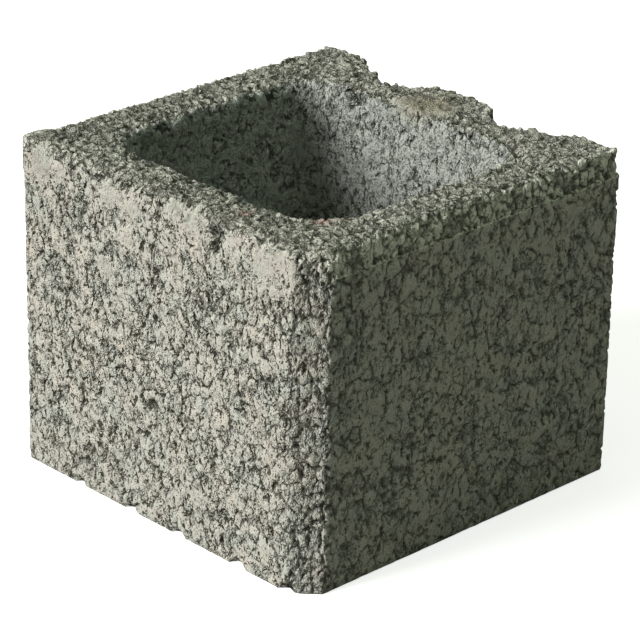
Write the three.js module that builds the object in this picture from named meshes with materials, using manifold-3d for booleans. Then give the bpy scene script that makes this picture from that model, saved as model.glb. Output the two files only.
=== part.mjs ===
// Hollow concrete end block, moulded in one piece: four walls round a single drafted cell, a
// plain end with one chamfered corner, and an interlocking end with a tongue between two grooves.
// Millimetres, +Z up. The origin is the middle of the bed face that the block stands on; +X runs
// from the plain end to the interlocking end, and Y runs across the two side faces.

import * as THREE from 'three';
import Module from 'manifold-3d';

// Outside
const length = 238;
const width = 233;
const height = 200;
const cornerChamfer = 14;

// Walls round the cell, as thick as they are at its mouth
const plainEndWall = 35;
const sideWall = 32;
const tongueEndWall = 44;
const cellCornerRadius = 28;
const cellDraft = 2;

// Interlocking end: widths are measured in turn from the middle of the tongue outwards
const tongueWidth = 54;
const flankRun = 4;
const shelfRun = 9;
const innerSlopeRun = 7.5;
const outerSlopeRun = 15.5;
const ledgeRun = 6;
const postSlopeRun = 16;

// Interlocking end: depths are measured inwards from the plane of the two corner posts
const shoulderDepth = 5;
const shelfRootDepth = 14;
const shelfEdgeDepth = 17;
const grooveDepth = 22.5;
const ledgeDepth = 11;
const grooveRound = 4;

// Struck band round the top, where the concrete stands back from the mould face, and worn rims
const bandHeight = 17;
const bandSetback = 1.2;
const outerRimRadius = 6;
const cellRimRadius = 4;

// Fineness of round stretches, and how far the cell's cutter passes the bed faces
const curveDivisions = 4;
const rimDivisions = 4;
const cutterOvershoot = 5;

const concrete = new THREE.MeshStandardMaterial({ color: 0x9c9a8e, roughness: 0.95, metalness: 0 });

const wasm = await Module();
wasm.setup();

// One side of the interlocking end, from the tongue's shoulder out to the corner post. Each point
// holds its distance from the middle of the end, and its depth behind the plane of the posts.
function interlockSteps() {
    const runs = [tongueWidth / 2, flankRun, shelfRun, innerSlopeRun, outerSlopeRun, ledgeRun, postSlopeRun];
    const depths = [shoulderDepth, shelfRootDepth, shelfEdgeDepth, grooveDepth, ledgeDepth, ledgeDepth, 0];
    let reach = 0;
    return runs.map((run, i) => {
        reach += run;
        return new THREE.Vector2(reach, depths[i]);
    });
}

// Draws the interlocking end into a plan outline, from the -Y post across the tongue to +Y.
function addInterlock(outline) {
    const endX = length / 2;
    const place = (step, side) => new THREE.Vector2(endX - step.y, side * step.x);
    const steps = interlockSteps();
    const groove = 3;
    const follow = (order, side) => {
        order.forEach((index, i) => {
            const here = place(steps[index], side);
            if (index !== groove) {
                outline.lineTo(here.x, here.y);
                return;
            }
            const before = place(steps[order[i - 1]], side);
            const after = place(steps[order[i + 1]], side);
            const start = before.sub(here).setLength(grooveRound).add(here);
            const finish = after.sub(here).setLength(grooveRound).add(here);
            outline.lineTo(start.x, start.y);
            outline.quadraticCurveTo(here.x, here.y, finish.x, finish.y);
        });
    };
    const outwards = steps.map((_, i) => i);
    follow([...outwards].reverse(), -1);

    const halfTongue = tongueWidth / 2;
    const crownRadius = (halfTongue ** 2 + shoulderDepth ** 2) / (2 * shoulderDepth);
    const halfAngle = Math.asin(halfTongue / crownRadius);
    outline.absarc(endX - crownRadius, 0, crownRadius, -halfAngle, halfAngle, false);
    follow(outwards, 1);
}

// Plan of the mould: plain end with its chamfered corner, two side faces and the interlock.
function blockOutline() {
    const x = length / 2;
    const y = width / 2;
    const outline = new THREE.Shape();
    outline.moveTo(-x + cornerChamfer, -y);
    outline.lineTo(x, -y);
    addInterlock(outline);
    outline.lineTo(x, y);
    outline.lineTo(-x, y);
    outline.lineTo(-x, -y + cornerChamfer);
    outline.closePath();
    return outline;
}

// Plan of the cell at its mouth.
function cellOutline() {
    const low = new THREE.Vector2(-length / 2 + plainEndWall, -width / 2 + sideWall);
    const high = new THREE.Vector2(length / 2 - tongueEndWall, width / 2 - sideWall);
    const r = cellCornerRadius;
    const quarter = Math.PI / 2;
    const outline = new THREE.Shape();
    outline.absarc(high.x - r, high.y - r, r, 0, quarter, false);
    outline.absarc(low.x + r, high.y - r, r, quarter, 2 * quarter, false);
    outline.absarc(low.x + r, low.y + r, r, 2 * quarter, 3 * quarter, false);
    outline.absarc(high.x - r, low.y + r, r, 3 * quarter, 4 * quarter, false);
    outline.closePath();
    return outline;
}

// An outline's points, counter-clockwise, each listed once.
function outlinePoints(outline) {
    const points = outline.getPoints(curveDivisions);
    return points.filter((point, i) => point.distanceTo(points[(i + 1) % points.length]) > 1e-6);
}

// Moves a counter-clockwise outline outwards by a distance, with mitred corners.
function offset(points, distance) {
    return points.map((point, i) => {
        const before = points[(i + points.length - 1) % points.length];
        const after = points[(i + 1) % points.length];
        const incoming = point.clone().sub(before).normalize();
        const outgoing = after.clone().sub(point).normalize();
        const mitre = new THREE.Vector2(incoming.y + outgoing.y, -incoming.x - outgoing.x);
        const stretch = 2 * distance / mitre.lengthSq();
        return point.clone().addScaledVector(mitre, stretch);
    });
}

// A closed solid through levels from the bottom up, each the outline grown by some amount.
function loft(points, levels) {
    const count = points.length;
    const rings = levels.map(({ z, grow }) => offset(points, grow).map((p) => [p.x, p.y, z]));
    const faces = [];
    for (let level = 0; level + 1 < rings.length; level++) {
        for (let i = 0; i < count; i++) {
            const next = (i + 1) % count;
            const a = level * count + i;
            const b = level * count + next;
            faces.push(a, b, b + count, a, b + count, a + count);
        }
    }
    const cap = THREE.ShapeUtils.triangulateShape(points, []);
    const top = (rings.length - 1) * count;
    for (const [a, b, c] of cap) {
        faces.push(a, c, b, top + a, top + b, top + c);
    }
    const geometry = new THREE.BufferGeometry();
    geometry.setAttribute('position', new THREE.Float32BufferAttribute(rings.flat(2), 3));
    geometry.setIndex(faces);
    return geometry;
}

// Levels of a quarter-round rim that ends at the top bed face. The rim turns away from the wall
// by the given radius: inwards with sign -1, outwards with sign 1.
function rimLevels(radius, sign, wallGrow) {
    const levels = [];
    for (let i = 0; i <= rimDivisions; i++) {
        const angle = Math.PI / 2 * i / rimDivisions;
        const z = height - radius + radius * Math.sin(angle);
        levels.push({ z, grow: wallGrow + sign * radius * (1 - Math.cos(angle)) });
    }
    return levels;
}

// The walls' outside: the mould face, the struck band behind its ledge, and the worn rim.
function blockLevels() {
    const ledgeZ = height - bandHeight;
    return [
        { z: 0, grow: 0 },
        { z: ledgeZ, grow: 0 },
        { z: ledgeZ, grow: -bandSetback },
        ...rimLevels(outerRimRadius, -1, -bandSetback),
    ];
}

// The cell's cutter: narrower downwards by the draft, and flared at the mouth by the worn rim.
function cellLevels() {
    const flare = rimLevels(cellRimRadius, 1, 0);
    return [
        { z: -cutterOvershoot, grow: -cellDraft },
        { z: 0, grow: -cellDraft },
        ...flare,
        { z: height + cutterOvershoot, grow: cellRimRadius },
    ];
}

function toSolid(geometry) {
    return new wasm.Manifold(new wasm.Mesh({
        numProp: 3,
        vertProperties: new Float32Array(geometry.attributes.position.array),
        triVerts: new Uint32Array(geometry.index.array),
    }));
}

function toGeometry(solid) {
    const mesh = solid.getMesh();
    const geometry = new THREE.BufferGeometry();
    geometry.setAttribute('position', new THREE.BufferAttribute(mesh.vertProperties, 3));
    geometry.setIndex(new THREE.BufferAttribute(mesh.triVerts, 1));
    geometry.computeVertexNormals();
    return geometry;
}

const walls = toSolid(loft(outlinePoints(blockOutline()), blockLevels()));
const cell = toSolid(loft(outlinePoints(cellOutline()), cellLevels()));

const block = new THREE.Mesh(toGeometry(walls.subtract(cell)), concrete);
block.name = 'hollow_block';

const group = new THREE.Group();
group.add(block);

export default group;
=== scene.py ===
"""Looks of the hollow concrete end block: its open-grained faces and crumbled rim, in a plain studio."""

import math
from types import SimpleNamespace

import bmesh
import bpy
from mathutils import Matrix, Vector


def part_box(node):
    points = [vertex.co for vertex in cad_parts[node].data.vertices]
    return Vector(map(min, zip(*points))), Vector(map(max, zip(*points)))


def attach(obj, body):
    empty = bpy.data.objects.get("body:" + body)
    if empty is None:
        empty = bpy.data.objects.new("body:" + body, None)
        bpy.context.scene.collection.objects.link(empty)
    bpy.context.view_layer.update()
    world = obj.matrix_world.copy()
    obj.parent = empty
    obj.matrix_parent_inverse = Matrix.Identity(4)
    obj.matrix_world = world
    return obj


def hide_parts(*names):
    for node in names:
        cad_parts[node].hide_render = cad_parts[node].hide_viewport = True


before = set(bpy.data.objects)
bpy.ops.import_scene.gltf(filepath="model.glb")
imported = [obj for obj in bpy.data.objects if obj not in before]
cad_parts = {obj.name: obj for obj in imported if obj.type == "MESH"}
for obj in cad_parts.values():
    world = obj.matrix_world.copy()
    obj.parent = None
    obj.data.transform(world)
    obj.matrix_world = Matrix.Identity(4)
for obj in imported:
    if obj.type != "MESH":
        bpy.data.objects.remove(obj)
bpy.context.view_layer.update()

MM = 0.001
NODE = "hollow_block"
LOW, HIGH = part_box(NODE)
HEIGHT = HIGH.z

# Walls round the cell, and the struck band below the top bed face
PLAIN_END_WALL = 35 * MM
TONGUE_END_WALL = 44 * MM
SIDE_WALL = 32 * MM
BAND_HEIGHT = 17 * MM
BAND_SETBACK = 1.2 * MM
LEDGE = HEIGHT - BAND_HEIGHT
CELL_LOW = Vector((LOW.x + PLAIN_END_WALL, LOW.y + SIDE_WALL, 0))
CELL_HIGH = Vector((HIGH.x - TONGUE_END_WALL, HIGH.y - SIDE_WALL, HEIGHT))
CELL_CORNER = 28 * MM
CORNER_CHAMFER = 14 * MM
CHAMFER_LINE = LOW.x + LOW.y + CORNER_CHAMFER

# Fineness of the body's mesh
WELD_GAP = 0.01 * MM
GROUND_VOXEL = 1.3 * MM
VOXEL = 0.9 * MM
MOST_TRIANGLES = 196000

# Sizes of what shows in the pressed concrete. Its sand is finer than the grit here, which is drawn as
# coarse as it needs to show.
FILL = 12 * MM
LUMP = 6.2 * MM
LUMP_BEND = 4.2 * MM
LUMP_SHIFT = 3.7 * MM
SWELL = 3.9 * MM
CREVICE = 3.0 * MM
CRACK = 2.1 * MM
CRACK_WIDTH = 4.3 * MM
PIT = 2.6 * MM
PINHOLE = 1.35 * MM
GRIT = 0.9 * MM

# How far the crumbled rim and the whole corner may stand out of the solid, though never out of its box
RIM_LEAVE = 0.9 * MM
CORNER_LEAVE = 4.5 * MM

# Strength of the two lights
KEY_LIGHT = 4.15
OVERHEAD_LIGHT = 0.64

MATHS = "ShaderNodeMath"
VECTOR = "ShaderNodeVectorMath"
SPLIT = "ShaderNodeSeparateXYZ"
RAMP = "ShaderNodeMapRange"
MIX = "ShaderNodeMix"
NOISE = "ShaderNodeTexNoise"
CELLS = "ShaderNodeTexVoronoi"
STORE = "GeometryNodeStoreNamedAttribute"
STORED = "GeometryNodeInputNamedAttribute"
RANDOM = "FunctionNodeRandomValue"
COMPARE = "FunctionNodeCompare"
MOVE = "GeometryNodeSetPosition"


# ---------------------------------------------------------------- helpers

def linear(hex_colour):
    """An sRGB hex colour as linear RGBA."""
    channels = [int(hex_colour[i:i + 2], 16) / 255 for i in (1, 3, 5)]
    return [c / 12.92 if c <= 0.04045 else ((c + 0.055) / 1.055) ** 2.4 for c in channels] + [1.0]


def add(tree, kind, *inputs, out=0, named=None, **settings):
    """Adds a node, and returns one of its outputs. Inputs are values, or the outputs that feed them."""
    node = tree.nodes.new(kind)
    for name, value in settings.items():
        setattr(node, name, value)
    for socket, value in [*enumerate(inputs), *(named or {}).items()]:
        if isinstance(value, bpy.types.NodeSocket):
            tree.links.new(value, node.inputs[socket])
        else:
            node.inputs[socket].default_value = value
    return node.outputs[out] if node.outputs else None


def patches(size, seed, detail, roughness):
    """Inputs of a noise with patches of a given size. Such a noise is 0 to 1, and mostly near 0.5."""
    return {"W": seed, "Scale": 1 / size, "Detail": detail, "Roughness": roughness}


def new_tree(name, sizes):
    """A geometry tree with one geometry input and output, and a named input for each size."""
    tree = bpy.data.node_groups.new(name, "GeometryNodeTree")
    tree.interface.new_socket("Geometry", in_out="INPUT", socket_type="NodeSocketGeometry")
    for label, value in sizes.items():
        kind = "NodeSocketInt" if isinstance(value, int) else "NodeSocketFloat"
        tree.interface.new_socket(label, in_out="INPUT", socket_type=kind)
    tree.interface.new_socket("Geometry", in_out="OUTPUT", socket_type="NodeSocketGeometry")
    return tree, tree.nodes.new("NodeGroupInput").outputs


def run_tree(obj, tree, sizes):
    """Puts a tree on an object, with its sizes set."""
    modifier = obj.modifiers.new(tree.name, "NODES")
    modifier.node_group = tree
    for item in tree.interface.items_tree:
        if item.in_out == "INPUT" and item.name in sizes:
            modifier[item.identifier] = sizes[item.name]


def settle(obj):
    """Works an object's modifiers into its mesh."""
    depsgraph = bpy.context.evaluated_depsgraph_get()
    depsgraph.update()
    mesh = bpy.data.meshes.new_from_object(obj.evaluated_get(depsgraph), depsgraph=depsgraph)
    mesh.name = obj.name
    obj.modifiers.clear()
    obj.data = mesh


def new_object(name, data):
    """An object at the origin that shows a mesh, a light or a camera."""
    obj = bpy.data.objects.new(name, data)
    bpy.context.scene.collection.objects.link(obj)
    return obj


# ---------------------------------------------------------------- where things are on the block

# Where the paste closed smoothly, at the top of the plain end and on the tongue: each place's middle
# and reach, in mm
SMOOTH_PLACES = [
    (Vector((84, 15, 200)), 13),
    (Vector((87, -4, 200)), 13),
    (Vector((-119, 101, 187)), 13),
    (Vector((-119, 84, 186)), 8),
    (Vector((-119, 42, 187)), 10),
    (Vector((-119, 24, 186)), 10),
    (Vector((-119, -8, 194)), 9),
    (Vector((-119, -23, 189)), 12),
    (Vector((-119, -56, 187)), 9),
    (Vector((-119, -81, 185)), 13),
    (Vector((-119, -96, 190)), 9),
    (Vector((-119, 45, 143)), 9),
    (Vector((-119, 28, 165)), 8),
    (Vector((-119, 85, 141)), 6),
]

# Stones that lie bare in the upper bed face, and last the brownish trowelled tongue: each one's middle
# and reach in mm, and its colour
BARE_STONES = [
    (Vector((-78, -81, 200)), 8, "#d8bcb1"),
    (Vector((-101, -47, 200)), 6, "#ceb2a8"),
    (Vector((-65, -86, 200)), 7, "#b8ab95"),
    (Vector((88, 5, 208)), 27, "#aca594"),
]

# Damage: each chip's middle, reach and depth in mm
CHIPS = [
    (Vector((-119, -43, 190)), 6.5, 4.5),
    (Vector((-119, -43, 182)), 4.5, 3.5),
    (Vector((75, 54, 198)), 5, 5.5),
    (Vector((75, 54, 192)), 4.5, 5.5),
    (Vector((75, 54, 186)), 4, 4.0),
    (Vector((-119, 102, 133)), 4, 3.0),
    (Vector((-119, 7, 73)), 4.5, 3.5),
    (Vector((-119, 27, 0)), 6, 2.5),
    (Vector((-119, -13, 0)), 6, 2.5),
    (Vector((-119, -62, 0)), 7, 3.0),
    (Vector((-119, -101, 0)), 7, 3.0),
    (Vector((-119, 70, 0)), 5, 2.0),
]

# The corner that stayed whole to its tip: its middle, its reach, and how far it stands out of the worn
# rim, in mm
WHOLE_CORNER = (Vector((-119, 116.5, 200)), 24, 5.0)

# The cell's mouth stayed firm round the first bare stone, to this reach in mm
FIRM_REACH = 18


def near(tree, place, spot, reach):
    """1 close to a spot, falling to 0 at its reach, both in mm."""
    away = add(tree, VECTOR, place, tuple(spot * MM), operation="DISTANCE", out=1)
    reach = reach * MM
    return add(tree, RAMP, away, reach, 0.4 * reach, interpolation_type="SMOOTHSTEP")


def ragged(tree, place, size, shift):
    """The place, shifted by a small noise, so that patterns drawn on it get ragged borders."""
    drift = add(tree, NOISE, named={"Vector": place, "Scale": 1 / size, "Detail": 3.0, "Roughness": 0.65},
                out=1)
    drift = add(tree, VECTOR, drift, (0.5, 0.5, 0.5), operation="SUBTRACT")
    drift = add(tree, VECTOR, drift, named={"Scale": shift}, operation="SCALE")
    return add(tree, VECTOR, place, drift, operation="ADD")


def spread(tree, place):
    """The place, drawn in on the side faces, so that the lumps drawn on it are larger there."""
    across = add(tree, MATHS, add(tree, SPLIT, place, out=1), operation="ABSOLUTE")
    side = add(tree, MATHS, across, HIGH.y - 0.5 * MM, operation="GREATER_THAN")
    scale = add(tree, RAMP, side, 0.0, 1.0, 1.0, 0.8)
    return add(tree, VECTOR, place, named={"Scale": scale}, operation="SCALE")


def on_chamfer(tree, x, y):
    """1 on the chamfered corner, and 0 elsewhere."""
    to_corner = add(tree, MATHS, x, y, operation="ADD")
    return add(tree, RAMP, to_corner, CHAMFER_LINE + 2 * MM, CHAMFER_LINE + 1 * MM)


def off_plain_end(tree, x, cell):
    """1 on the outside of the block but for its plain end, which has no struck band, and 0 elsewhere."""
    off_end = add(tree, MATHS, x, LOW.x + CORNER_CHAMFER - 2 * MM, operation="GREATER_THAN")
    return add(tree, MATHS, off_end, cell, operation="SUBTRACT", use_clamp=True)


def zones(tree, place):
    """Where a place lies, in metres, and which parts of the block it belongs to, each 0 to 1.

    The rim's crumbling ends at a wavy line below the top, and the struck band is crumbled all over.
    """
    x, y, z = add(tree, SPLIT, place).node.outputs
    below_top = add(tree, MATHS, HEIGHT, z, operation="SUBTRACT")

    middle, half = (CELL_LOW + CELL_HIGH) / 2, (CELL_HIGH - CELL_LOW) / 2
    core = half - Vector((CELL_CORNER, CELL_CORNER, 0))
    beyond = add(tree, VECTOR, place, tuple(middle), operation="SUBTRACT")
    beyond = add(tree, VECTOR, beyond, operation="ABSOLUTE")
    beyond = add(tree, VECTOR, beyond, tuple(core), operation="SUBTRACT")
    beyond = add(tree, VECTOR, beyond, (0.0, 0.0, 0.0), operation="MAXIMUM")
    beyond = add(tree, VECTOR, beyond, operation="LENGTH", out=1)
    cell = add(tree, RAMP, beyond, CELL_CORNER + 3 * MM, CELL_CORNER + 1 * MM)
    off_mouth = add(tree, MATHS, beyond, CELL_CORNER + 2 * MM, operation="SUBTRACT")
    off_mouth = add(tree, MATHS, off_mouth, operation="ABSOLUTE")
    off_mouth = add(tree, MATHS, below_top, 1.8, off_mouth, operation="MULTIPLY_ADD")
    mouth = add(tree, RAMP, off_mouth, 10 * MM, 5 * MM)

    line = add(tree, NOISE, named={"Vector": place, **patches(12 * MM, 21.0, 3.0, 0.5)},
               noise_dimensions="4D")
    line = add(tree, RAMP, line, 0.35, 0.65, 2 * MM, 11 * MM)
    past_line = add(tree, MATHS, below_top, line, operation="SUBTRACT")
    rim = add(tree, RAMP, past_line, 0.8 * MM, -0.8 * MM)
    in_band = add(tree, MATHS, below_top, BAND_HEIGHT, operation="LESS_THAN")
    banded = add(tree, MATHS, off_plain_end(tree, x, cell), in_band, operation="MULTIPLY")
    crumbled = add(tree, MATHS, banded, rim, operation="MAXIMUM")
    return SimpleNamespace(x=x, y=y, below_top=below_top, line=line, rim=rim, mouth=mouth, in_band=in_band,
                           crumbled=crumbled, cell=cell)


def nearest_on_solid(tree):
    """The nearest place on the solid's faces, and the way that the solid faces there."""
    solid = add(tree, "GeometryNodeObjectInfo", named={"Object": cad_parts[NODE]}, out="Geometry")
    nearest = add(tree, "GeometryNodeProximity", solid)
    facing = add(tree, "GeometryNodeSampleNearestSurface", solid, add(tree, "GeometryNodeInputNormal"),
                 data_type="FLOAT_VECTOR")
    return nearest, facing


def within_solid(tree, geometry):
    """Draws back what stands out of the solid by more than its leave, or out of the solid's box."""
    place = add(tree, "GeometryNodeInputPosition")
    z = add(tree, SPLIT, place, out=2)
    nearest, facing = nearest_on_solid(tree)
    out_by = add(tree, VECTOR, place, nearest, operation="SUBTRACT")
    out_by = add(tree, VECTOR, out_by, facing, operation="DOT_PRODUCT", out=1)

    at_band = add(tree, COMPARE, z, LEDGE, operation="GREATER_THAN")
    leave = add(tree, "GeometryNodeSwitch", at_band, 0.0, BAND_SETBACK, input_type="FLOAT")
    at_rim = add(tree, RAMP, z, HEIGHT - 8 * MM, HEIGHT - 3 * MM, 0.0, RIM_LEAVE)
    leave = add(tree, MATHS, leave, at_rim, operation="ADD")
    corner, reach, _ = WHOLE_CORNER
    leave = add(tree, MATHS, near(tree, place, corner, reach), CORNER_LEAVE, leave, operation="MULTIPLY_ADD")

    stands_out = add(tree, COMPARE, out_by, leave, operation="GREATER_THAN")
    limit = add(tree, VECTOR, facing, named={"Scale": leave}, operation="SCALE")
    limit = add(tree, VECTOR, nearest, limit, operation="ADD")
    held = add(tree, MOVE, geometry, named={"Selection": stands_out, "Position": limit})
    boxed = add(tree, VECTOR, place, tuple(LOW), operation="MAXIMUM")
    boxed = add(tree, VECTOR, boxed, tuple(HIGH), operation="MINIMUM")
    return add(tree, MOVE, held, named={"Position": boxed})


# ---------------------------------------------------------------- what the mould and the grit leave

def plate_height(tree, edge, swell, full, crumbled):
    """Height of the pressed lumps in mm: flat on top, and falling off towards their edges."""
    fall = add(tree, RAMP, edge, 0.22, 0.0)
    fall = add(tree, MATHS, fall, fall, operation="MULTIPLY")
    fall = add(tree, MATHS, fall, -1.0, 0.45, operation="MULTIPLY_ADD")
    height = add(tree, MATHS, swell, 0.7, full, operation="MULTIPLY_ADD")
    height = add(tree, MATHS, height, fall, operation="ADD")
    height = add(tree, MATHS, height, 0.0, operation="MINIMUM")
    height = add(tree, MATHS, height, -1.2, operation="MAXIMUM")
    loosened = add(tree, MATHS, crumbled, 0.8, 1.0, operation="MULTIPLY_ADD")
    return add(tree, MATHS, height, loosened, operation="MULTIPLY")


def gaps(tree, drawn, edge, full):
    """Crevices round the lumps, pits and pinholes, each 0 to 1, and fewer where the paste is full."""
    width = add(tree, NOISE, named={"Vector": drawn, **patches(CREVICE, 3.0, 2.0, 0.6)},
                noise_dimensions="4D")
    width = add(tree, RAMP, width, 0.40, 0.60, -0.06, 0.09)
    width = add(tree, MATHS, full, -0.03, width, operation="MULTIPLY_ADD")
    crevice = add(tree, RAMP, add(tree, MATHS, width, edge, operation="SUBTRACT"), 0.0, 0.04)

    crest = add(tree, NOISE, named={"Vector": drawn, **patches(CRACK, 5.0, 3.0, 0.6)}, noise_dimensions="4D")
    crest = add(tree, MATHS, crest, 0.5, operation="SUBTRACT")
    crest = add(tree, MATHS, crest, operation="ABSOLUTE")
    width = add(tree, NOISE, named={"Vector": drawn, **patches(CRACK_WIDTH, 6.0, 2.0, 0.6)},
                noise_dimensions="4D")
    width = add(tree, RAMP, width, 0.42, 0.58, -0.02, 0.03)
    width = add(tree, MATHS, full, -0.01, width, operation="MULTIPLY_ADD")
    crack = add(tree, RAMP, add(tree, MATHS, width, crest, operation="SUBTRACT"), 0.0, 0.012)
    crevice = add(tree, MATHS, crevice, crack, operation="MAXIMUM")

    level = add(tree, MATHS, full, -0.02, 0.38, operation="MULTIPLY_ADD")
    pit = add(tree, NOISE, named={"Vector": drawn, **patches(PIT, 7.0, 3.0, 0.65)}, noise_dimensions="4D")
    pit = add(tree, RAMP, add(tree, MATHS, level, pit, operation="SUBTRACT"), 0.0, 0.03)
    level = add(tree, MATHS, full, -0.03, 0.375, operation="MULTIPLY_ADD")
    pinhole = add(tree, NOISE, named={"Vector": drawn, **patches(PINHOLE, 8.0, 1.0, 0.5)},
                  noise_dimensions="4D")
    pinhole = add(tree, RAMP, add(tree, MATHS, level, pinhole, operation="SUBTRACT"), 0.0, 0.04)
    return crevice, pit, pinhole


def pressed_ground(tree, place, closed, crumbled):
    """The face that the concrete took on in the mould.

    Lumps of about 6 mm, drawn out a little upwards because the mould was lifted off them, were pressed
    flat into plates, with crevices and pits left between them. Where closed is 1 the paste is almost
    whole, and where crumbled is 1 hardly anything pressed the lumps flat. It gives how far the concrete
    lies below the mould's face, in mm from 0 down; where its crevices and pits lie, 0 to 1, into which
    the material paints shade; its grit and its swell, both about 0; and how full of paste it is, also
    about 0.
    """
    drawn = add(tree, VECTOR, place, (1.0, 1.0, 0.7), operation="MULTIPLY")
    bent = ragged(tree, drawn, LUMP_BEND, LUMP_SHIFT)
    edge = add(tree, CELLS, named={"Vector": bent, "Scale": 1 / LUMP}, feature="DISTANCE_TO_EDGE")
    full = add(tree, NOISE, named={"Vector": place, **patches(FILL, 1.0, 3.0, 0.6)}, noise_dimensions="4D")
    full = add(tree, RAMP, full, 0.36, 0.64, -0.6, 0.6)
    full = add(tree, MATHS, closed, 2.5, full, operation="MULTIPLY_ADD")
    full = add(tree, MATHS, crumbled, -0.35, full, operation="MULTIPLY_ADD")
    swell = add(tree, NOISE, named={"Vector": drawn, **patches(SWELL, 2.0, 3.0, 0.7)}, noise_dimensions="4D")
    swell = add(tree, RAMP, swell, 0.36, 0.64, -1.0, 1.0)
    grit = add(tree, NOISE, named={"Vector": place, **patches(GRIT, 9.0, 2.0, 0.75)}, noise_dimensions="4D")
    grit = add(tree, MATHS, grit, 0.5, operation="SUBTRACT")

    height = plate_height(tree, edge, swell, full, crumbled)
    crevice, pit, pinhole = gaps(tree, drawn, edge, full)
    shaded_gaps = add(tree, MATHS, crevice, pit, operation="MAXIMUM")
    shaded_gaps = add(tree, MATHS, shaded_gaps, pinhole, operation="MAXIMUM")
    height = add(tree, MATHS, crevice, -0.8, height, operation="MULTIPLY_ADD")
    height = add(tree, MATHS, height, add(tree, MATHS, pit, -2.0, operation="MULTIPLY"), operation="MINIMUM")
    height = add(tree, MATHS, pinhole, -0.6, height, operation="MULTIPLY_ADD")
    return height, shaded_gaps, grit, swell, full


SINKING = {
    "Rim depth": 1.6 * MM,
    "Band depth": 0.8 * MM,
    "Bed waviness": 0.6 * MM,
    "Worn shoulder": 0.8 * MM,
    "Broken mouth": 3.0 * MM,
    "Kept arris": 2.5 * MM,
}


def broken_mouth(tree, place, mouth, depth):
    """How deep the gaps in the cell's mouth are, none of which reach the first bare stone."""
    broken = add(tree, NOISE, named={"Vector": place, **patches(9 * MM, 31.0, 2.0, 0.5)},
                 noise_dimensions="4D")
    broken = add(tree, RAMP, broken, 0.45, 0.60)
    firm = near(tree, place, BARE_STONES[0][0], FIRM_REACH)
    broken = add(tree, MATHS, broken, firm, operation="SUBTRACT", use_clamp=True)
    broken = add(tree, MATHS, broken, mouth, operation="MULTIPLY")
    return add(tree, MATHS, broken, depth, operation="MULTIPLY")


def kept_arris(tree, normal, zone, rise):
    """How far the arrises of the square side and the tongue end rise from the solid's round rim."""
    up = add(tree, SPLIT, normal, out=2)
    level = add(tree, MATHS, up, up, operation="MULTIPLY")
    level = add(tree, MATHS, level, -1.0, 1.0, operation="MULTIPLY_ADD")
    level = add(tree, MATHS, level, 0.0, operation="MAXIMUM")
    level = add(tree, MATHS, level, operation="SQRT")
    arris = add(tree, RAMP, add(tree, MATHS, up, level, operation="MAXIMUM"), 1.0, 0.73)
    square_side = add(tree, RAMP, zone.y, HIGH.y - 12 * MM, HIGH.y - 8 * MM)
    tongue_end = add(tree, RAMP, zone.x, CELL_HIGH.x + 11 * MM, CELL_HIGH.x + 17 * MM)
    kept = add(tree, MATHS, square_side, tongue_end, operation="MAXIMUM")
    kept = add(tree, MATHS, kept, arris, operation="MULTIPLY")
    return add(tree, MATHS, kept, rise, operation="MULTIPLY")


def worn_shoulder(tree, zone, most):
    """How far the shoulder between the top and the plain end is worn down."""
    from_end = add(tree, MATHS, zone.x, LOW.x, operation="SUBTRACT")
    worn = add(tree, MATHS, from_end, zone.below_top, operation="ADD")
    worn = add(tree, MATHS, zone.line, worn, operation="SUBTRACT")
    worn = add(tree, MATHS, worn, 0.3, operation="MULTIPLY")
    worn = add(tree, MATHS, worn, 0.0, operation="MAXIMUM")
    return add(tree, MATHS, worn, most, operation="MINIMUM")


def sunken_tree():
    """Lowers the crumbled ground, for grains to lie on, and brings the plain end flush."""
    tree, given = new_tree("sunken_ground", SINKING)
    place = add(tree, "GeometryNodeInputPosition")
    normal = add(tree, "GeometryNodeInputNormal")
    zone = zones(tree, place)

    wave = add(tree, NOISE, named={"Vector": place, "Scale": 1 / (24 * MM), "Detail": 2.0, "Roughness": 0.5})
    wave = add(tree, RAMP, wave, 0.35, 0.65)
    wave = add(tree, MATHS, wave, given["Bed waviness"], operation="MULTIPLY")
    bed = add(tree, MATHS, wave, given["Rim depth"], operation="ADD")
    top = add(tree, RAMP, zone.below_top, 9 * MM, 3 * MM)
    depth = add(tree, MIX, top, named={2: given["Band depth"], 3: bed})
    lowered = add(tree, MATHS, broken_mouth(tree, place, zone.mouth, given["Broken mouth"]),
                  kept_arris(tree, normal, zone, given["Kept arris"]), operation="SUBTRACT")
    depth = add(tree, MATHS, depth, lowered, operation="ADD")
    depth = add(tree, MATHS, depth, zone.crumbled, operation="MULTIPLY")

    flush = add(tree, MATHS, 1.0, zone.rim, operation="SUBTRACT")
    flush = add(tree, MATHS, add(tree, RAMP, zone.x, LOW.x + 6 * MM, LOW.x + 3 * MM), flush,
                operation="MULTIPLY")
    flush = add(tree, MATHS, flush, zone.in_band, operation="MULTIPLY")
    depth = add(tree, MATHS, flush, -BAND_SETBACK, depth, operation="MULTIPLY_ADD")
    worn = worn_shoulder(tree, zone, given["Worn shoulder"])
    depth = add(tree, MATHS, depth, worn, operation="ADD")
    corner, reach, rise = WHOLE_CORNER
    whole = near(tree, ragged(tree, place, 5 * MM, 6 * MM), corner, reach)
    depth = add(tree, MATHS, whole, -rise * MM, depth, operation="MULTIPLY_ADD")

    inwards = add(tree, MATHS, depth, -1.0, operation="MULTIPLY")
    inwards = add(tree, VECTOR, normal, named={"Scale": inwards}, operation="SCALE")
    kept = given["Geometry"]
    for name, value in (("crumbled", zone.crumbled), ("lowered", lowered)):
        kept = add(tree, STORE, kept, named={"Name": name, "Value": value}, data_type="FLOAT")
    add(tree, "NodeGroupOutput", add(tree, MOVE, kept, named={"Offset": inwards}))
    return tree


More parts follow.
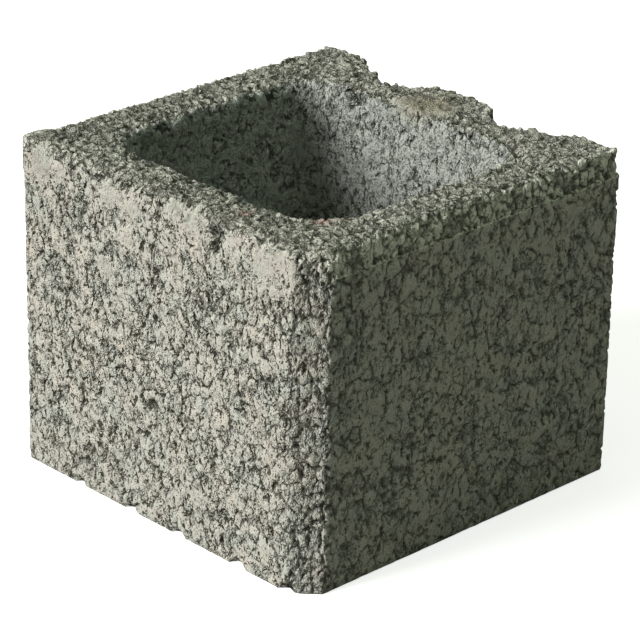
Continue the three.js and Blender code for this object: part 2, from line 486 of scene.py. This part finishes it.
GRAINS = {
    "Spacing": 2.6 * MM,
    "Most per square metre": 4e5,
    "Smallest": 1.3 * MM,
    "Largest": 3.3 * MM,
    "Least bedding": 0.7,
    "Most bedding": 1.7,
    "Seed": 2,
}


def mortared_tree():
    """Beds grains in the crumbled ground, their crowns near the solid's face, for the remesh to fuse."""
    tree, given = new_tree("mortared_grains", GRAINS)
    body, seed = given["Geometry"], given["Seed"]
    place = add(tree, "GeometryNodeInputPosition")
    crumbled = add(tree, STORED, named={"Name": "crumbled"}, data_type="FLOAT")
    points = add(tree, "GeometryNodeDistributePointsOnFaces", body, named={
                 "Distance Min": given["Spacing"], "Density Max": given["Most per square metre"],
                 "Density Factor": crumbled, "Seed": seed}, distribute_method="POISSON")
    size = add(tree, RANDOM, named={2: 0.0, 3: 1.0, 8: seed}, out=1)
    size = add(tree, MATHS, size, 2.0, operation="POWER")
    radius = add(tree, RAMP, size, 0.0, 1.0, given["Smallest"], given["Largest"])
    points = add(tree, STORE, points, named={"Name": "radius", "Value": radius})
    radius = add(tree, STORED, named={"Name": "radius"}, data_type="FLOAT")

    # Each grain sinks with the ground under it, so that none is left floating over a gap
    nearest, facing = nearest_on_solid(tree)
    bedding = add(tree, RANDOM, named={2: given["Least bedding"], 3: given["Most bedding"], 8: 6}, out=1)
    lowered = add(tree, STORED, named={"Name": "lowered"}, data_type="FLOAT")
    sunk = add(tree, MATHS, radius, bedding, lowered, operation="MULTIPLY_ADD")
    sunk = add(tree, MATHS, sunk, -1.0, operation="MULTIPLY")
    sunk = add(tree, VECTOR, facing, named={"Scale": sunk}, operation="SCALE")
    bed = add(tree, VECTOR, nearest, sunk, operation="ADD")
    points = add(tree, MOVE, points, named={"Position": bed})

    grain = add(tree, "GeometryNodeMeshUVSphere", named={"Radius": 1.0, "Segments": 7, "Rings": 5})
    turn = add(tree, RANDOM, named={0: (0, 0, 0), 1: (6.28, 6.28, 6.28), 8: 11}, data_type="FLOAT_VECTOR")
    squeeze = add(tree, RANDOM, named={0: (0.9, 0.7, 0.7), 1: (1.3, 1.1, 1.0), 8: 12},
                  data_type="FLOAT_VECTOR")
    squeeze = add(tree, VECTOR, squeeze, named={"Scale": radius}, operation="SCALE")
    grains = add(tree, "GeometryNodeInstanceOnPoints", points, named={
                 "Instance": grain, "Rotation": turn, "Scale": squeeze})
    grains = add(tree, "GeometryNodeRealizeInstances", grains)
    grains = add(tree, MOVE, grains, named={"Position": ragged(tree, place, 2.6 * MM, 0.8 * MM)})
    joined = add(tree, "GeometryNodeJoinGeometry", within_solid(tree, grains))
    tree.links.new(body, joined.node.inputs[0])
    add(tree, "NodeGroupOutput", joined)
    return tree


RELIEF = {
    "Relief": 1.15,
    "Relief on the rim": 0.36,
    "Relief on the band": 1.0,
}


def closed_paste(tree, bent, zone):
    """How closed the paste is: most in the smooth places, a little in the cell and on the side faces,
    and less than elsewhere on the chamfered corner.
    """
    whole = 0.0
    for spot, reach in SMOOTH_PLACES:
        whole = add(tree, MATHS, whole, near(tree, bent, spot, reach), operation="MAXIMUM")
    across = add(tree, MATHS, zone.y, operation="ABSOLUTE")
    side = add(tree, RAMP, across, HIGH.y - 1 * MM, HIGH.y - 0.3 * MM, 0.0, 0.05)
    closed = add(tree, MATHS, whole, side, operation="ADD")
    closed = add(tree, MATHS, zone.cell, 0.15, closed, operation="MULTIPLY_ADD", use_clamp=True)
    chamfer = add(tree, MATHS, on_chamfer(tree, zone.x, zone.y), zone.in_band, operation="SUBTRACT",
                  use_clamp=True)
    return add(tree, MATHS, chamfer, -0.15, closed, operation="MULTIPLY_ADD")


def relief_tree():
    """Sinks the crevices and pits into the pressed faces, roughens the crumbled ground and chips it."""
    tree, given = new_tree("open_grained_relief", RELIEF)
    normal = add(tree, "GeometryNodeInputNormal")
    place = add(tree, "GeometryNodeInputPosition")
    nearest = nearest_on_solid(tree)[0]
    zone = zones(tree, nearest)
    bent = ragged(tree, nearest, 5 * MM, 6 * MM)
    closed = closed_paste(tree, bent, zone)
    chipped = 0.0
    for spot, reach, deep in CHIPS:
        chip = near(tree, bent, spot, reach)
        chipped = add(tree, MATHS, chip, deep, chipped, operation="MULTIPLY_ADD")
        closed = add(tree, MATHS, chip, -0.4, closed, operation="MULTIPLY_ADD")
    height = pressed_ground(tree, spread(tree, place), closed, zone.crumbled)[0]

    on_band = add(tree, RAMP, zone.below_top, 3 * MM, 6 * MM)
    loose = add(tree, MIX, on_band, named={2: given["Relief on the rim"], 3: given["Relief on the band"]})
    amount = add(tree, MIX, zone.crumbled, named={2: given["Relief"], 3: loose})
    off_floor = add(tree, RAMP, add(tree, SPLIT, nearest, out=2), 0.2 * MM, 1.2 * MM, 0.1, 1.0)
    amount = add(tree, MATHS, amount, off_floor, operation="MULTIPLY")
    height = add(tree, MATHS, height, amount, operation="MULTIPLY")
    height = add(tree, MATHS, height, chipped, operation="SUBTRACT")
    height = add(tree, MATHS, height, MM, operation="MULTIPLY")
    offset = add(tree, VECTOR, normal, named={"Scale": height}, operation="SCALE")
    ground = add(tree, "ShaderNodeCombineXYZ", closed, zone.crumbled, zone.cell)
    kept = given["Geometry"]
    for name, value in (("ground", ground), ("skin", place)):
        kept = add(tree, STORE, kept, named={"Name": name, "Value": value}, data_type="FLOAT_VECTOR")
    add(tree, "NodeGroupOutput", add(tree, MOVE, kept, named={"Offset": offset}))
    return tree


def held_in_solid():
    """Draws a finished mesh back into the solid, and notes how far each point lies in a hollow."""
    tree, given = new_tree("held_in_solid", {})
    place = add(tree, "GeometryNodeInputPosition")
    around = add(tree, "GeometryNodeBlurAttribute", place, 3, data_type="FLOAT_VECTOR")
    hollow = add(tree, VECTOR, around, place, operation="SUBTRACT")
    hollow = add(tree, VECTOR, hollow, add(tree, "GeometryNodeInputNormal"), operation="DOT_PRODUCT", out=1)
    held = within_solid(tree, given["Geometry"])
    held = add(tree, STORE, held, named={"Name": "hollow", "Value": hollow}, data_type="FLOAT")
    add(tree, "NodeGroupOutput", held)
    return tree


def remesh(obj, size):
    """Covers an object with one closed skin of even faces."""
    modifier = obj.modifiers.new("even_mesh", "REMESH")
    modifier.mode = "VOXEL"
    modifier.voxel_size = size


def without_folds(mesh):
    """Takes out the corners that thinning leaves between two edges only, where faces would fold flat."""
    skin = bmesh.new()
    skin.from_mesh(mesh)
    between_two = [corner for corner in skin.verts if len(corner.link_edges) == 2]
    bmesh.ops.dissolve_verts(skin, verts=between_two)
    skin.to_mesh(mesh)
    skin.free()


def block_body(material):
    """The whole block in one mesh: the solid's form, with crumbled rims, damage and open grain."""
    obj = new_object("block_body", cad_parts[NODE].data.copy())
    weld = obj.modifiers.new("weld", "WELD")
    weld.merge_threshold = WELD_GAP
    remesh(obj, GROUND_VOXEL)
    run_tree(obj, sunken_tree(), SINKING)
    run_tree(obj, mortared_tree(), GRAINS)
    remesh(obj, VOXEL)
    run_tree(obj, relief_tree(), RELIEF)
    settle(obj)
    triangles = sum(len(p.vertices) - 2 for p in obj.data.polygons)
    thin = obj.modifiers.new("thin", "DECIMATE")
    thin.ratio = min(1.0, MOST_TRIANGLES / triangles)
    run_tree(obj, held_in_solid(), {})
    settle(obj)
    without_folds(obj.data)
    obj.data.materials.clear()
    obj.data.materials.append(material)
    obj.data.shade_smooth()
    return obj


# ---------------------------------------------------------------- material

# Colours of the cement paste from its leaner to its fatter patches, then of the crumbled ground, of the
# cell's walls and of the shade painted into the crevices
PASTE = [(0.36, "#c0c1b7"), (0.5, "#c5c3b8"), (0.66, "#cac4b8")]
CRUMBLED = "#c8c7bb"
CELL_WALL = "#b3b7b0"
CREVICE_SHADE = "#b3af96"


def paste_colour(tree, skin, full, crumbled, cell):
    """Colour of the clean paste, and of the stones that lie bare in it."""
    hue = add(tree, NOISE, named={"Vector": skin, **patches(16 * MM, 12.0, 3.0, 0.5)}, noise_dimensions="4D")
    hue = add(tree, MATHS, hue, add(tree, RAMP, full, -0.8, 0.8, -0.10, 0.10), operation="ADD")
    colour = add(tree, "ShaderNodeValToRGB", hue)
    stops = colour.node.color_ramp.elements
    stops.new(0.5)
    for stop, (position, paste) in zip(stops, PASTE):
        stop.position = position
        stop.color = linear(paste)
    covers = [(crumbled, CRUMBLED), (cell, CELL_WALL)]
    covers += [(near(tree, skin, spot, reach), bare) for spot, reach, bare in BARE_STONES]
    for where, cover in covers:
        colour = add(tree, MIX, where, named={6: colour, 7: linear(cover)}, data_type="RGBA", out=2)
    return colour


def where_painted_shade_eases(tree, x, across, struck, ledge, chamfer, crumbled, cell):
    """Where less shade is painted into the crevices and the grain shows more by its relief: on the side
    faces, at the tongue end, in the cell, on the crumbled ground, along the ledge and on the chamfered
    corner.
    """
    side = add(tree, RAMP, across, HIGH.y - 1.0 * MM, HIGH.y - 0.4 * MM, 0.0, 0.72)
    tongue_end = add(tree, RAMP, x, HIGH.x - 30 * MM, HIGH.x - 24 * MM, 0.0, 0.7)
    side = add(tree, MATHS, side, tongue_end, operation="MAXIMUM")
    cell_end = add(tree, RAMP, x, CELL_HIGH.x - 20 * MM, CELL_HIGH.x, 0.95, 0.6)
    painted_shade_eased = add(tree, MATHS, cell, cell_end, side, operation="MULTIPLY_ADD")
    loose = add(tree, MATHS, crumbled, 0.35, operation="MULTIPLY")
    loose = add(tree, MATHS, struck, 0.45, loose, operation="MULTIPLY_ADD")
    for place in (loose, ledge, add(tree, MATHS, chamfer, 0.35, operation="MULTIPLY")):
        painted_shade_eased = add(tree, MATHS, place, painted_shade_eased, operation="MAXIMUM")
    return painted_shade_eased


def concrete_material():
    """Open-textured moulded concrete: matt cement paste pressed flat over grit, pitted and creviced."""
    material = bpy.data.materials.new("open_textured_concrete")
    material.use_nodes = True
    tree = material.node_tree
    tree.nodes.clear()
    skin = add(tree, "ShaderNodeAttribute", out=1, attribute_name="skin")
    hollow = add(tree, "ShaderNodeAttribute", out=2, attribute_name="hollow")
    ground = add(tree, "ShaderNodeAttribute", out=1, attribute_name="ground")
    closed, crumbled, cell = add(tree, SPLIT, ground).node.outputs
    x, y, z = add(tree, SPLIT, skin).node.outputs
    across = add(tree, MATHS, y, operation="ABSOLUTE")
    height, shaded_gaps, grit, swell, full = pressed_ground(tree, spread(tree, skin), closed, crumbled)

    struck = add(tree, RAMP, across, HIGH.y - 5 * MM, HIGH.y - 3 * MM)
    struck = add(tree, MATHS, struck, crumbled, operation="MULTIPLY")
    # The ledge line under the struck band, along which a highlight is painted
    off_ledge = add(tree, MATHS, grit, 1.2 * MM, z, operation="MULTIPLY_ADD")
    off_ledge = add(tree, MATHS, off_ledge, LEDGE, operation="SUBTRACT")
    off_ledge = add(tree, MATHS, off_ledge, operation="ABSOLUTE")
    ledge = add(tree, RAMP, off_ledge, 0.5 * MM, 0.15 * MM)
    ledge = add(tree, MATHS, ledge, off_plain_end(tree, x, cell), operation="MULTIPLY")
    chamfer = on_chamfer(tree, x, y)
    painted_shade_eased = where_painted_shade_eases(tree, x, across, struck, ledge, chamfer, crumbled, cell)
    # How much shade is painted into the crevices and pits, less where that painted shade is eased
    crevices = add(tree, MATHS, 1.0, painted_shade_eased, operation="SUBTRACT")
    crevices = add(tree, MATHS, shaded_gaps, crevices, operation="MULTIPLY")

    tone = add(tree, NOISE, named={"Vector": skin, **patches(9 * MM, 15.0, 3.0, 0.6)}, noise_dimensions="4D")
    # On the lumps' flanks beside the gaps the grit's tone varies, with painted highlights among it
    flank = add(tree, MATHS, add(tree, RAMP, height, -0.02, -0.15), add(tree, RAMP, shaded_gaps, 0.6, 0.2),
                operation="MULTIPLY")
    # Painted light in the cell, lifting its walls but for the tongue end wall, the shaded long wall most of
    # all
    pale = add(tree, RAMP, x, CELL_HIGH.x - 30 * MM, CELL_HIGH.x - 5 * MM, 0.22, 0.0)
    # Painted shade in the mesh's hollows, stronger on the crumbled ground, with a little painted light on
    # the crowns
    painted_hollow_shade = add(tree, RAMP, hollow, -0.4 * MM, 0.6 * MM, 1.06, 0.82)
    loosened = add(tree, MATHS, crumbled, 0.9, 1.0, operation="MULTIPLY_ADD")
    shades = [
        add(tree, RAMP, tone, 0.35, 0.65, 0.94, 1.05),
        add(tree, RAMP, closed, 0.2, 1.0, 1.0, 0.88),
        # painted shade in the chips, where closed falls below 0
        add(tree, RAMP, closed, -0.2, -0.4, 1.0, 0.6),
        # painted light on the struck band below the top, on both side faces
        add(tree, MATHS, struck, 0.7, 1.0, operation="MULTIPLY_ADD"),
        # painted shade on the chamfered corner
        add(tree, RAMP, chamfer, 0.0, 1.0, 1.0, 0.92),
        # painted light in the cell
        add(tree, MATHS, pale, cell, 1.0, operation="MULTIPLY_ADD"),
        # grit tone and painted highlights on the flanks
        add(tree, MIX, flank, named={2: 1.0, 3: add(tree, RAMP, grit, -0.08, 0.08, 0.74, 1.4)}),
        # painted shade in the crevices and pits
        add(tree, RAMP, crevices, 0.0, 1.0, 1.0, 0.26),
        # painted shade where the ground lies deeper below the mould's face
        add(tree, RAMP, height, -0.3, -1.6, 1.03, 0.88),
        # painted highlight along the ledge's upward step
        add(tree, RAMP, ledge, 0.0, 1.0, 1.0, 1.6),
        # painted shade in the hollows and painted light on the crowns
        add(tree, MATHS, painted_hollow_shade, loosened, operation="POWER"),
    ]
    shade = shades[0]
    for other in shades[1:]:
        shade = add(tree, MATHS, shade, other, operation="MULTIPLY")
    colour = paste_colour(tree, skin, full, crumbled, cell)
    # the painted shade in the crevices and pits takes on a dark yellowish tint
    colour = add(tree, MIX, crevices, named={6: colour, 7: linear(CREVICE_SHADE)}, data_type="RGBA", out=2)
    colour = add(tree, MIX, named={0: 1.0, 6: colour, 7: shade}, data_type="RGBA", blend_type="MULTIPLY",
                 out=2)

    rise = add(tree, MATHS, height, 2.5, operation="MULTIPLY")
    rise = add(tree, MATHS, swell, 0.5, rise, operation="MULTIPLY_ADD")
    more = add(tree, MATHS, painted_shade_eased, 0.6, 1.0, operation="MULTIPLY_ADD")
    more = add(tree, MATHS, cell, 0.8, more, operation="MULTIPLY_ADD")
    rise = add(tree, MATHS, rise, more, operation="MULTIPLY")
    gritty = add(tree, RAMP, height, -0.05, -0.4, 1.6, 2.4)
    rise = add(tree, MATHS, grit, gritty, rise, operation="MULTIPLY_ADD")
    rise = add(tree, MATHS, rise, MM, operation="MULTIPLY")
    bump = add(tree, "ShaderNodeBump", named={"Strength": 1.0, "Distance": 1.0, "Height": rise})
    shader = add(tree, "ShaderNodeBsdfPrincipled", named={"Base Color": colour, "Normal": bump,
                 "Roughness": 0.93, "Specular IOR Level": 0.25})
    add(tree, "ShaderNodeOutputMaterial", shader)
    return material


# ---------------------------------------------------------------- stage, light and camera

def seen_straight(tree):
    """1 for what the camera sees itself, in a mirror or through glass, and 0 for light on the block."""
    seen = add(tree, "ShaderNodeLightPath")
    for ray in ("Is Glossy Ray", "Is Transmission Ray"):
        seen = add(tree, MATHS, seen, add(tree, "ShaderNodeLightPath", out=ray), operation="MAXIMUM")
    return seen


def floor():
    """A pale studio floor that reads as white, keeps the block's shadow and throws little light back."""
    reach = 12.0
    mesh = bpy.data.meshes.new("floor")
    corners = [(-reach, -reach, 0), (reach, -reach, 0), (reach, reach, 0), (-reach, reach, 0)]
    mesh.from_pydata(corners, [], [(0, 1, 2, 3)])
    obj = new_object("floor", mesh)
    material = bpy.data.materials.new("pale_studio_floor")
    material.use_nodes = True
    tree = material.node_tree
    tree.nodes.clear()
    plain = add(tree, "ShaderNodeBsdfDiffuse", linear("#969690"))
    white = add(tree, "ShaderNodeBsdfDiffuse", (0.80, 0.80, 0.80, 1))
    bright = add(tree, "ShaderNodeAddShader", white, add(tree, "ShaderNodeEmission", (1, 1, 1, 1), 0.72))
    surface = add(tree, "ShaderNodeMixShader", seen_straight(tree), plain, bright)
    add(tree, "ShaderNodeOutputMaterial", surface)
    mesh.materials.append(material)


def studio_world():
    """A broad soft light overhead that fades towards the horizon, in front of a white background."""
    world = bpy.data.worlds.new("studio")
    world.use_nodes = True
    bpy.context.scene.world = world
    tree = world.node_tree
    tree.nodes.clear()
    up = add(tree, SPLIT, add(tree, "ShaderNodeTexCoord"), out=2)
    up = add(tree, MATHS, up, 0.0, operation="MAXIMUM")
    up = add(tree, MATHS, up, 2.0, operation="POWER")
    strength = add(tree, MATHS, up, OVERHEAD_LIGHT, operation="MULTIPLY")
    fill = add(tree, "ShaderNodeBackground", (0.84, 1.0, 0.76, 1), strength)
    white = add(tree, "ShaderNodeBackground", (1, 1, 1, 1), 1.0)
    surface = add(tree, "ShaderNodeMixShader", seen_straight(tree), fill, white)
    add(tree, "ShaderNodeOutputWorld", surface)


def key_light():
    """A broad low light from the plain end, a little round towards the square side."""
    light = bpy.data.lights.new("key", "SUN")
    light.energy = KEY_LIGHT
    light.angle = math.radians(26)
    light.color = (1.0, 0.99, 0.985)
    obj = new_object("key", light)
    round_by, up_by = math.radians(18), math.radians(22)
    towards = Vector((-math.cos(round_by) * math.cos(up_by), math.sin(round_by) * math.cos(up_by),
                      math.sin(up_by)))
    obj.rotation_euler = towards.to_track_quat("Z", "Y").to_euler()


def camera():
    """The camera stands off the chamfered corner and looks down at the block."""
    azimuth, elevation, roll = math.radians(-44.303), math.radians(24.162), math.radians(1.196)
    distance = 1822 * MM
    aim = Vector((-1.7, -2.9, 92.7)) * MM
    forward = Vector((math.cos(elevation) * -math.sin(azimuth), math.cos(elevation) * math.cos(azimuth),
                      -math.sin(elevation)))
    level = forward.cross(Vector((0, 0, 1))).normalized()
    upright = level.cross(forward)
    right = math.cos(roll) * level + math.sin(roll) * upright
    up = -math.sin(roll) * level + math.cos(roll) * upright
    data = bpy.data.cameras.new("camera")
    data.sensor_width = 36.0
    data.lens = 180.56
    obj = new_object("camera", data)
    axes = Matrix((right, up, -forward)).transposed().to_4x4()
    obj.matrix_world = Matrix.Translation(aim - forward * distance) @ axes
    bpy.context.scene.camera = obj


concrete = concrete_material()
body = block_body(concrete)
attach(body, "root")
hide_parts(NODE)
floor()
studio_world()
key_light()
camera()
bpy.context.scene.view_settings.view_transform = "Standard"
